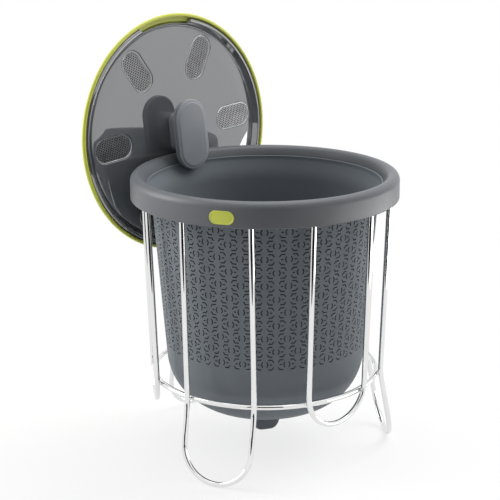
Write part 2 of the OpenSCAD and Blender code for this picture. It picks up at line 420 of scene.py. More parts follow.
@dataclass(frozen=True)
class CarbonFoam(Finish):
    """Open black foam loaded with carbon grains."""

    colour: Colour = (0.016, 0.016, 0.017)

    def dress(self, shader: Shader) -> dict[str, Any]:
        """Cells as pits, with paler cell walls.

        Args:
            shader: The material's shader.

        Returns:
            The surface shader's inputs.
        """
        where = {"Vector": shader.place(), "Scale": 900.0}
        cells = shader.node("ShaderNodeTexVoronoi", {"feature": "F1"}, where)
        walls = shader.band(cells, 0.25, 0.75)
        return {
            "Base Color": shader.blend(walls, self.colour, self.tint(2.6)),
            "Roughness": 0.86 + walls * 0.1,
            "Normal": shader.bump(walls, 0.0006),
        }


CHROME = ChromedWire("chromed_wire")
BUCKET_GREY = SoftPlastic("bucket_silicone", srgb(109, 115, 120), rough=0.52, mottle=0.07, specular=0.1)
COLLAR_GREY = SoftPlastic("collar_silicone", srgb(92, 95, 99), rough=0.42, mottle=0.05, depth=0.000015)
HANDLE_GREY = SoftPlastic("handle_plastic", srgb(147, 150, 155), rough=0.4, mottle=0.05, grain=1100)
LIME = SoftPlastic("lime_plastic", srgb(203, 209, 84), rough=0.32, mottle=0.04, depth=0.00001)
LID_GLOSS = GlossPlastic("lid_gloss", srgb(94, 97, 101))
SCREEN = ScreenSteel("screen_steel")
FOAM = CarbonFoam("carbon_foam")
SCREW = ScreenSteel("screw_steel", (0.5, 0.5, 0.5))


# ----------------------------------------------------------------- mesh making


def only_verts(geometry: Iterable[Any]) -> list:
    """The vertices among an operator's results."""
    return [g for g in geometry if isinstance(g, bmesh.types.BMVert)]


class Form:
    """A mesh under construction, in millimetres until it is made an object."""

    def __init__(self) -> None:
        """Start empty."""
        self.bm = bmesh.new()

    def everything(self) -> list:
        """All vertices, edges and faces, as bmesh operators take them."""
        return self.bm.verts[:] + self.bm.edges[:] + self.bm.faces[:]

    def chain(self, points: Iterable[Sequence[float]]) -> dict[str, list]:
        """Add a few vertices joined in a row.

        Args:
            points: Their places.

        Returns:
            The vertices and edges, as bmesh operators take them.
        """
        verts = [self.bm.verts.new(p) for p in points]
        edges = [self.bm.edges.new(pair) for pair in zip(verts, verts[1:])]
        return {"verts": verts, "edges": edges}

    def ring(self, points: Iterable[Sequence[float]]) -> list:
        """Add a closed outline.

        Args:
            points: Its corners.

        Returns:
            Its vertices in order.
        """
        verts = [self.bm.verts.new(p) for p in points]
        for pair in zip(verts, verts[1:] + verts[:1]):
            self.bm.edges.new(pair)
        return verts

    def sides(self, ring: list) -> list:
        """The edges between a ring's neighbouring vertices."""
        return [self.bm.edges.get(pair) for pair in zip(ring, ring[1:] + ring[:1])]

    def cap(self, ring: list) -> list:
        """Close a ring with one face."""
        return bmesh.ops.contextual_create(self.bm, geom=self.sides(ring))["faces"]

    def disc(self, radius: float, height: float, steps: int, start: float = 0.0) -> list:
        """Add a round outline."""
        place = Matrix.Translation((0, 0, height)) @ Matrix.Rotation(start, 4, "Z")
        return bmesh.ops.create_circle(self.bm, segments=steps, radius=radius, cap_ends=False, matrix=place)["verts"]

    def join(self, other: "Form") -> None:
        """Take over another form's geometry, and end that form.

        Args:
            other: The form that is used up.
        """
        mesh = bpy.data.meshes.new("joined")
        other.bm.to_mesh(mesh)
        other.bm.free()
        self.bm.from_mesh(mesh)
        bpy.data.meshes.remove(mesh)

    def row(self, tile: list, count: int, step: Sequence[float]) -> list[list]:
        """Repeat a tile in a row.

        Args:
            tile: Vertices, edges and faces of the first one.
            count: How many there are in the end.
            step: The move from one to the next.

        Returns:
            The geometry of each one.
        """
        tiles = [tile]
        for index in range(1, count):
            made = bmesh.ops.duplicate(self.bm, geom=tile)["geom"]
            bmesh.ops.translate(self.bm, verts=only_verts(made), vec=Vector(step) * index)
            tiles.append(made)
        return tiles

    def lathe(self, section: Sequence[Point2], steps: int = 192, start: float = 0.0) -> None:
        """Spin a half section once round Z.

        Args:
            section: Radius and height of each corner.
            steps: Divisions of the turn.
            start: Angle of the first division, in radians.
        """
        turned = Matrix.Rotation(start, 3, "Z")
        row = self.chain(turned @ Vector((r, 0, z)) for r, z in section)
        bmesh.ops.spin(
            self.bm, geom=row["verts"] + row["edges"], cent=(0, 0, 0), axis=(0, 0, 1),
            dvec=(0, 0, 0), angle=math.tau, steps=steps, use_merge=True, use_duplicate=False,
        )

    def slot(self, width: float, length: float, height: float, segments: int = 48) -> list:
        """Add the outline of a round-ended slot, long along Y.

        Args:
            width: Slot width.
            length: Slot length over its round ends.
            height: Its place along Z.
            segments: Corners of the outline.

        Returns:
            Its vertices in order.
        """
        ring = self.disc(width / 2, height, segments, math.pi / segments)
        for side in Side:
            half = [v for v in ring if v.co.y * side.value > 0]
            bmesh.ops.translate(self.bm, verts=half, vec=(0, side.value * (length - width) / 2, 0))
        return ring

    def bridge(self, *rings: list) -> None:
        """Join rings, each to the next, with faces.

        Args:
            *rings: The rings' vertices, in the same order on each.
        """
        for first, second in zip(rings, rings[1:]):
            for corners in zip(first, first[1:] + first[:1], second[1:] + second[:1], second):
                self.bm.faces.new(corners)

    def slot_stack(self, sections: Sequence[tuple[float, float, float]], segments: int = 48) -> None:
        """Build a closed round-ended block from its outlines.

        Args:
            sections: Width, length and height of each outline, from one end to the other.
            segments: Corners of each outline.
        """
        rings = [self.slot(*section, segments) for section in sections]
        self.bridge(*rings)
        self.cap(rings[0])
        self.cap(rings[-1])

    def fill(self, *rings: list) -> None:
        """Fill between one outline and the outlines inside it."""
        edges = [e for ring in rings for e in self.sides(ring)]
        bmesh.ops.triangle_fill(self.bm, use_beauty=True, use_dissolve=False, edges=edges)

    def tube(self, path: Sequence[Vector], radius: float, sides: int = 20, closed: bool = False) -> None:
        """Sweep a round section along a path.

        Args:
            path: The centre line's points.
            radius: Radius of the section.
            sides: Corners of the section.
            closed: Whether the last point joins the first.
        """
        points = [Vector(p) for p in path]
        count = len(points)
        after = [points[(i + 1) % count] if closed or i + 1 < count else points[i] for i in range(count)]
        before = [points[i - 1] if closed or i else points[0] for i in range(count)]
        ways = [(b - a).normalized() for a, b in zip(before, after)]
        seat = Matrix.Translation(points[0]) @ ways[0].to_track_quat("Z", "Y").to_matrix().to_4x4()
        ring = self.disc(radius, 0.0, sides)
        bmesh.ops.transform(self.bm, matrix=seat, verts=ring)
        first = self.sides(ring)
        edges = first
        for i in range(1, count):
            grown = bmesh.ops.extrude_edge_only(self.bm, edges=edges)["geom"]
            ring = only_verts(grown)
            edges = [g for g in grown if isinstance(g, bmesh.types.BMEdge) and all(v in ring for v in g.verts)]
            turn = ways[i - 1].rotation_difference(ways[i]).to_matrix().to_4x4()
            move = Matrix.Translation(points[i]) @ turn @ Matrix.Translation(-points[i - 1])
            bmesh.ops.transform(self.bm, matrix=move, verts=ring)
        if closed:
            bmesh.ops.bridge_loops(self.bm, edges=edges + first)
        else:
            for end in (first, edges):
                bmesh.ops.contextual_create(self.bm, geom=end)

    def shift(self, matrix: Matrix) -> None:
        """Move everything made so far."""
        bmesh.ops.transform(self.bm, matrix=matrix, verts=self.bm.verts[:])

    def warp(self, rule: Callable[[Vector], Sequence[float]]) -> None:
        """Bend everything made so far by a rule for one point."""
        for vert in self.bm.verts:
            vert.co = rule(vert.co)

    def object(self, name: str, finish: Finish, crease: float = 35.0, reach: float = 0.0005) -> bpy.types.Object:
        """Close the mesh and make it an object in metres.

        Args:
            name: The piece's name.
            finish: Its material.
            crease: Angle in degrees above which an edge is sharp.
            reach: Distance within which vertices are one.

        Returns:
            The new object, at the origin.
        """
        bmesh.ops.remove_doubles(self.bm, verts=self.bm.verts[:], dist=reach)
        bmesh.ops.recalc_face_normals(self.bm, faces=self.bm.faces[:])
        bmesh.ops.scale(self.bm, vec=(MM, MM, MM), verts=self.bm.verts[:])
        mesh = bpy.data.meshes.new(name)
        self.bm.to_mesh(mesh)
        self.bm.free()
        mesh.shade_smooth()
        mesh.set_sharp_from_angle(angle=math.radians(crease))
        mesh.materials.append(finish.material())
        made = bpy.data.objects.new(name, mesh)
        bpy.context.scene.collection.objects.link(made)
        open_edges = sum(1 for n in _edge_uses(mesh) if n != 2)
        LOG.info("%s: %d faces, %d open edges", name, len(mesh.polygons), open_edges)
        return made


def _edge_uses(mesh: bpy.types.Mesh) -> list[int]:
    """How many faces use each edge of a mesh.

    Args:
        mesh: The mesh.

    Returns:
        One count per edge.
    """
    uses = [0] * len(mesh.edges)
    for loop in mesh.loops:
        uses[loop.edge_index] += 1
    return uses


def turn_z(degrees: float) -> Matrix:
    """A turn about Z."""
    return Matrix.Rotation(math.radians(degrees), 4, "Z")


def arc(centre: Point2, radius: float, start: float, end: float, steps: int) -> list[Point2]:
    """Points along an arc of a half section."""
    turns = (math.radians(start + (end - start) * i / steps) for i in range(steps + 1))
    return [(centre[0] + radius * math.cos(t), centre[1] + radius * math.sin(t)) for t in turns]


def rounded(corners: Sequence[tuple[float, float, float]], steps: int = 5) -> list[Point2]:
    """Round the corners of an open line of a half section.

    Args:
        corners: Radius, height and rounding of each corner.
        steps: Divisions of each rounding.

    Returns:
        The points of the rounded line.
    """
    line: list[Point2] = []
    for i, (x, z, size) in enumerate(corners):
        here = Vector((x, z))
        if size <= 0 or i in (0, len(corners) - 1):
            line.append((x, z))
            continue
        back = Vector(corners[i - 1][:2]) - here
        on = Vector(corners[i + 1][:2]) - here
        reach = min(size, back.length * 0.49, on.length * 0.49)
        first = here + back.normalized() * reach
        last = here + on.normalized() * reach
        for k in range(steps + 1):
            t = k / steps
            point = first * (1 - t) ** 2 + here * 2 * t * (1 - t) + last * t ** 2
            line.append((point.x, point.y))
    return line


def settle(piece: bpy.types.Object, node: str, body: Body, slot: str) -> bpy.types.Object:
    """Put a piece in the place of a CAD node.

    Args:
        piece: The new piece.
        node: The CAD node that it stands for.
        body: The body that it rides on.
        slot: The record's material slot; not used.

    Returns:
        The piece.
    """
    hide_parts(node)
    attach(piece, body.value)
    return piece


# ------------------------------------------------------------------ wire stand


@dataclass
class WireStand:
    """Two rings and six welded wire loops."""

    wire_r: float = 2.4
    top_h: float = 232.5
    top_r: float = 105.05
    ring_h: float = 71.0
    ring_r: float = 100.2
    leg_top_r: float = 109.7
    half_w: float = 31.0
    foot_r: float = 113.0
    short_h: float = 47.8
    turn: float = -5.0
    bite: float = 0.15
    bead: tuple[float, float, float] = (0.75, 2.3, 2.3)
    knee: float = 7.0
    leg_step: float = 18.0
    sides: int = 20
    turns: int = 180

    def rings(self) -> None:
        """Build the top ring and the lower ring."""
        for node, radius, height in (("top_ring", self.top_r, self.top_h), ("lower_ring", self.ring_r, self.ring_h)):
            form = Form()
            form.tube(
                [Vector((radius * math.cos(a), radius * math.sin(a), height))
                 for a in (math.tau * i / self.turns for i in range(self.turns))],
                self.wire_r, self.sides, closed=True,
            )
            self._weld_beads(form, radius, height)
            settle(form.object(f"wire_{node}", CHROME), node, Body.STAND, "chrome_wire")

    def _weld_beads(self, form: Form, radius: float, height: float) -> None:
        """Add the small beads where the legs are welded to a ring.

        Args:
            form: The ring's form.
            radius: The ring's radius.
            height: The ring's height.
        """
        leg_y = self._leg_y(height)
        for loop in range(6):
            for side in Side:
                way = Vector((side.value * self.half_w, -leg_y, 0))
                way = Matrix.Rotation(math.radians(self.turn + 60 * loop), 3, "Z") @ way
                spot = way.normalized() * (radius + self.wire_r - self.bite / 2)
                place = Matrix.Translation((spot.x, spot.y, height))
                turned = Matrix.Rotation(math.atan2(way.y, way.x), 4, "Z")
                size = Matrix.Diagonal((*self.bead, 1.0))
                bmesh.ops.create_uvsphere(
                    form.bm, u_segments=12, v_segments=8, radius=1.0, matrix=place @ turned @ size
                )

    def _leg_y(self, height: float) -> float:
        """Distance of a leg's plane from the axis at a height.

        Args:
            height: The height.

        Returns:
            The distance.
        """
        high = math.sqrt(self.leg_top_r ** 2 - self.half_w ** 2)
        low = math.sqrt((self.ring_r + 2 * self.wire_r - self.bite) ** 2 - self.half_w ** 2)
        return low + (high - low) * (height - self.ring_h) / (self.top_h - self.ring_h)

    def _leg(self, heights: Sequence[float]) -> list[Vector]:
        """Points up the right-hand leg of a loop above the lower ring."""
        return [Vector((self.half_w, -self._leg_y(h), h)) for h in heights]

    def _mirrored(self, half: list[Vector]) -> list[Vector]:
        """Join half a loop's path, bottom first, with its mirror image."""
        return [Vector((-p.x, p.y, p.z)) for p in reversed(half)] + half[1:]

    def _bend(self, low: Vector, up: Vector, steps: int = 24) -> list[Vector]:
        """Half of the round bend at a loop's bottom."""
        turns = (math.pi / 2 * i / steps for i in range(steps + 1))
        return [low + Vector((self.half_w * math.sin(t), 0, 0)) - up * (self.half_w * math.cos(t)) for t in turns]

    def floor_path(self) -> list[Vector]:
        """Centre line of a loop that stands on the floor.

        Returns:
            Its points, from one leg's top to the other's.
        """
        join = Vector((self.half_w, -self._leg_y(self.ring_h), self.ring_h))
        lean = math.atan((self.foot_r + join.y) / (self.ring_h - self.wire_r))
        up = Vector((0, math.sin(lean), math.cos(lean)))
        centre = Vector((0, -self.foot_r, self.wire_r)) + up * self.half_w
        bend = self._bend(centre, up)
        leg = self._leg([self.ring_h + self.leg_step * i for i in range(1, 9)] + [self.top_h + self.wire_r])
        upper = (leg[0] - join).normalized()
        knee = [join - up * self.knee * (1 - t) ** 2 + upper * self.knee * t ** 2 for t in (0.0, 0.25, 0.5, 0.75, 1.0)]
        straight = [bend[-1].lerp(knee[0], t) for t in (0.25, 0.5, 0.75)]
        return self._mirrored(bend + straight + knee + leg)

    def short_path(self) -> list[Vector]:
        """Centre line of a loop that hangs below the lower ring.

        Returns:
            Its points, from one leg's top to the other's.
        """
        legs = self._leg((self.ring_h, self.top_h))
        up = (legs[1] - legs[0]).normalized()
        bend_h = self.short_h + self.half_w * up.z
        centre = Vector((0, -self._leg_y(bend_h), bend_h))
        rows = [bend_h + (self.top_h + self.wire_r - bend_h) * i / 9 for i in range(1, 10)]
        return self._mirrored(self._bend(centre, up) + self._leg(rows))

    def loops(self) -> None:
        """Build the six loops round the stand."""
        for kind, path, first in (("floor_loop", self.floor_path(), 0.0), ("short_loop", self.short_path(), 60.0)):
            for i in range(3):
                form = Form()
                form.tube(path, self.wire_r, self.sides)
                form.shift(turn_z(self.turn + first + 120 * i))
                node = f"{kind}_{i + 1}"
                settle(form.object(f"wire_{node}", CHROME), node, Body.STAND, "chrome_wire")


# ---------------------------------------------------------------------- bucket


@dataclass
class Bucket:
    """The flexible bucket with its debossed lattice and bottom grip."""

    top_r: float = 100.0
    lean: float = 4.4
    round_r: float = 54.0
    bottom: float = 37.0
    wall: float = 3.0
    shoulder: tuple[float, float] = (235.2, 238.2)
    mouth: tuple[float, float] = (102.2, 104.1)
    lip_top: float = 244.6
    flange_r: float = 113.3
    columns: int = 60
    rows: int = 11
    lattice: tuple[float, float] = (99.2, 229.3)
    phase: float = 2.05
    stroke: float = 1.05
    draft: float = 0.14
    # How far under the wall, and how far past the lattice, the painted shade in the strokes reaches.
    stroke_shade_gap: float = 0.3
    stroke_shade_past: float = 1.0
    throat: float = 6.5
    depth: float = 0.8
    per_cell: int = 4
    grip: tuple[float, float, float] = (27.0, 15.0, 27.0)
    grip_turn: float = 36.0

    def outer_r(self, height: float) -> float:
        """Radius of the straight wall's outer surface at a height."""
        return self.top_r - (self.shoulder[0] - height) * math.tan(math.radians(self.lean))

    def _round_centre(self) -> Point2:
        """Centre of the bottom's rounding.

        Returns:
            Its radius and height.
        """
        lean = math.radians(self.lean)
        height = self.bottom + self.round_r
        tangent = height - self.round_r * math.sin(lean)
        return self.outer_r(tangent) - self.round_r * math.cos(lean), height

    def _cell(self, form: Form, side: Side, origin: Vector, size: Point2) -> None:
        """Add one cell of the lattice, flat, with its strokes pressed in.

        Args:
            form: The flat sheet's form.
            side: Which way the cell's stem points.
            origin: The cell's lower left corner.
            size: The cell's width and height.
        """
        width, height = size
        corners = [(0, 0), (width, 0), (width, height), (0, height)]
        outline: list[Vector] = []
        for (x0, y0), (x1, y1) in zip(corners, corners[1:] + corners[:1]):
            for k in range(self.per_cell):
                t = k / self.per_cell
                outline.append(Vector((x0 + (x1 - x0) * t, y0 + (y1 - y0) * t, 0)) + origin)
        middle = origin + Vector((width / 2, height / 2, 0))
        strokes = [
            form.ring(p + middle for p in self._ribbon([Vector((side.value * x, y, 0)) for x, y in line]))
            for line in self._motif()
        ]
        form.fill(form.ring(outline), *strokes)
        faces = [face for ring in strokes for face in form.cap(ring)]
        for face in faces:
            face.normal_update()
            if face.normal.z < 0:
                face.normal_flip()
        bmesh.ops.inset_region(
            form.bm, faces=faces, thickness=self.draft, depth=-self.depth, use_even_offset=True, use_boundary=True
        )

    @staticmethod
    def _motif() -> list[list[Point2]]:
        """Centre lines of a cell's strokes: two brackets, a notch and a stem.

        Returns:
            One line per stroke, from the cell's middle.
        """
        bracket = [(-1.9, 4.5), (1.4, 4.5), (2.95, 2.2)]
        return [
            bracket,
            [(x, -y) for x, y in bracket],
            [(-3.1, 2.5), (-1.95, 0.0), (-3.1, -2.5)],
            [(-0.4, 0.0), (1.6, 0.0)],
        ]

    def _ribbon(self, line: Sequence[Vector]) -> list[Vector]:
        """Outline of a stroke of even width round a centre line.

        Args:
            line: The stroke's centre line.

        Returns:
            The outline's corners.
        """
        left, right = [], []
        for i, point in enumerate(line):
            back = (point - line[i - 1]).normalized() if i else (line[1] - point).normalized()
            on = (line[i + 1] - point).normalized() if i + 1 < len(line) else back
            way = (back + on).normalized()
            normal = Vector((-way.y, way.x, 0))
            reach = self.stroke / 2 / max(0.5, normal.dot(Vector((-back.y, back.x, 0))))
            left.append(point + normal * reach)
            right.append(point - normal * reach)
        return left + right[::-1]

    def build(self) -> None:
        """Build the bucket as one closed piece."""
        form = Form()
        low, high = self.lattice
        cell = (math.tau * self.outer_r((low + high) / 2) / self.columns, (high - low) / self.rows)
        for side in Side:
            self._cell(form, side, Vector((0 if side is Side.LEFT else cell[0], 0, 0)), cell)
        self._repeat(form, cell)
        start = math.radians(self.phase - 90 - 180 / self.columns)

        def wrap(point: Vector) -> Vector:
            """Roll the flat sheet round the wall.

            Args:
                point: A point of the flat sheet.

            Returns:
                Its place on the wall.
            """
            turn = start + point.x / cell[0] * math.tau / self.columns
            height = low + point.y
            radius = self.outer_r(height) + point.z
            return Vector((radius * math.cos(turn), radius * math.sin(turn), height))

        form.warp(wrap)
        for section in (self._upper(high), self._lower(low)):
            smooth = Form()
            smooth.lathe(section, self.columns * self.per_cell, start)
            form.join(smooth)
        form.join(self._grip())
        # The cone that places the painted shade in the pressed strokes, in metres.
        slope = math.tan(math.radians(self.lean))
        base, gap, past = self.outer_r(0.0), self.stroke_shade_gap, self.stroke_shade_past
        cone = (base * MM, slope, (low - past) * MM, (high + past) * MM, gap * MM)
        piece = form.object("bucket_body", replace(BUCKET_GREY, cone=cone), crease=30, reach=0.004)
        settle(piece, "bucket_shell", Body.BUCKET, "bucket_soft")

    def _repeat(self, form: Form, cell: Point2) -> None:
        """Copy the first two cells over the whole flat sheet.

        Args:
            form: The sheet's form.
            cell: A cell's width and height.
        """
        pair = form.everything()
        form.row(pair, self.columns // 2, (2 * cell[0], 0, 0))
        line = form.everything()
        rows = form.row(line, self.rows, (0, cell[1], 0))
        odd = [vert for made in rows[1::2] for vert in only_verts(made)]
        bmesh.ops.translate(form.bm, verts=odd, vec=(cell[0], 0, 0))

    def _upper(self, high: float) -> list[Point2]:
        """Half section from the lattice's top over the lip to the inside's centre.

        Args:
            high: Height of the lattice's top.

        Returns:
            The section's points.
        """
        wall = self.wall
        low_s, high_s = self.shoulder
        mouth_in, mouth_out = self.mouth
        centre_r, centre_h = self._round_centre()
        slope_low = low_s - self.throat
        inner_top = self.outer_r(slope_low) - wall / math.cos(math.radians(self.lean))
        inside = arc((centre_r, centre_h), self.round_r - wall, -self.lean, -90, 24)
        corners = [
            (self.outer_r(high), high, 0), (self.outer_r(low_s - 2), low_s - 2, 0),
            (self.outer_r(low_s) + 0.4, low_s, 0.8), (self.flange_r, low_s, 0.8), (self.flange_r, high_s, 0.8),
            (mouth_out, high_s, 0.5), (mouth_out, self.lip_top, 0.7), (mouth_in, self.lip_top, 0.7),
            (mouth_in, self.lip_top - 3.2, 2.5), (inner_top, slope_low, 6.0), (inside[0][0], inside[0][1], 0),
        ]
        return rounded(corners) + inside[1:] + [(0.0, self.bottom + wall)]

    def _lower(self, low: float) -> list[Point2]:
        """Half section from the outside's centre up to the lattice's bottom."""
        centre = self._round_centre()
        return [(0.0, self.bottom)] + arc(centre, self.round_r, -90, -self.lean, 28) + [(self.outer_r(low), low)]

    def _grip(self) -> Form:
        """Make the block under the bottom that turns the bucket inside out.

        Returns:
            The block's form.
        """
        width, thick, drop = self.grip
        low = self.bottom - drop
        block = Form()
        block.slot_stack([
            (thick - 10, width - 16, low), (thick - 6, width - 11, low + 0.7), (thick - 3, width - 6.5, low + 2.2),
            (thick - 1, width - 2.5, low + 5.2), (thick, width, low + 9.0), (thick + 0.6, width + 0.6, low + 14),
            (thick + 1.6, width + 1.6, self.bottom - 3), (thick + 5, width + 5, self.bottom + 1.2),
        ], 40)
        block.shift(turn_z(self.grip_turn + 90))
        return block


@dataclass
class Collar:
    """The stiff collar round the mouth, with its badge."""

    crest: float = 252.7
    height: float = 21.8
    outer: float = 118.0
    crest_r: float = 6.0
    inner: float = 104.3
    slope_low: float = 244.8
    seat: float = 238.2
    skirt_in: float = 113.5
    badge: tuple[float, float] = (21.5, 11.5)
    badge_h: float = 239.62
    badge_sink: float = 1.4
    badge_cuts: tuple[int, float] = (9, 1.1)
    skirt_edge: float = 1.2

    def ring(self) -> None:
        """Build the collar."""
        low, edge = self.crest - self.height, self.skirt_edge
        centre = (self.outer - self.crest_r, self.crest - self.crest_r)
        run, drop = centre[0] - self.inner, centre[1] - self.slope_low
        meet = 180 + math.degrees(math.atan2(drop, run)) - math.degrees(math.acos(self.crest_r / math.hypot(run, drop)))
        section = (
            [(self.inner, self.seat), (self.inner, self.slope_low)]
            + arc(centre, self.crest_r, meet, 0, 20)
            + [(self.outer, self.crest - 12)]
            + arc((self.outer - edge, low + edge), edge, 0, -90, 5)
            + [(self.skirt_in, low), (self.skirt_in, self.seat), (self.inner, self.seat)]
        )
        form = Form()
        form.lathe(section, 240)
        settle(form.object("collar_band", COLLAR_GREY), "rim_collar", Body.BUCKET, "collar_soft")

    def inlay(self) -> None:
        """Build the badge as a bordered slot, bent round the collar."""
        width, height = self.badge
        form = Form()
        form.slot_stack([
            (height, width, 0.0), (height, width, 1.45), (height - 0.6, width - 0.6, 1.88),
            (height - 1.8, width - 1.8, 1.88), (height - 2.6, width - 2.6, 1.58),
        ])
        cuts, step = self.badge_cuts
        for i in range(-cuts, cuts + 1):
            geometry = form.everything()
            bmesh.ops.bisect_plane(form.bm, geom=geometry, dist=1e-4, plane_co=(0, i * step, 0), plane_no=(0, 1, 0))
        seat_r = self.outer - self.badge_sink

        def wrap(point: Vector) -> Vector:
            """Bend the flat badge round the collar, facing -Y.

            Args:
                point: A point of the flat badge.

            Returns:
                Its place on the collar.
            """
            turn = point.y / self.outer
            radius = seat_r + point.z
            return Vector((radius * math.sin(turn), -radius * math.cos(turn), self.badge_h - point.x))

        form.warp(wrap)
        settle(form.object("badge_inlay", LIME), "collar_badge", Body.BUCKET, "lime_plastic")


# ------------------------------------------------------------------------- lid


@dataclass
class Parked:
    """Where the lid hangs on the rim."""

    turn: float = 61.0
    reach: float = 120.892
    height: float = 270.5
    lean: float = 2.5
    roll: float = 4.5

    def matrix(self) -> Matrix:
        """The move from the lid's own frame to its parked place, in millimetres.

        Returns:
            The move.
        """
        return (
            turn_z(self.turn)
            @ Matrix.Translation((0, self.reach, self.height))
            @ Matrix.Rotation(math.radians(90 - self.lean), 4, "X")
            @ turn_z(self.roll)
        )


@dataclass
class ParkedPart:
    """What hangs on the rim together with the lid."""

    parked: Parked = field(default_factory=Parked)
    face_z: float = 0.8

    def park(self, form: Form, piece: tuple[str, Finish], place: tuple[str, Body, str], **closing: float) -> None:
        """Move a form to the parked place, and settle its piece (name, finish) in a node's place."""
        form.shift(self.parked.matrix())
        settle(form.object(*piece, **closing), *place)


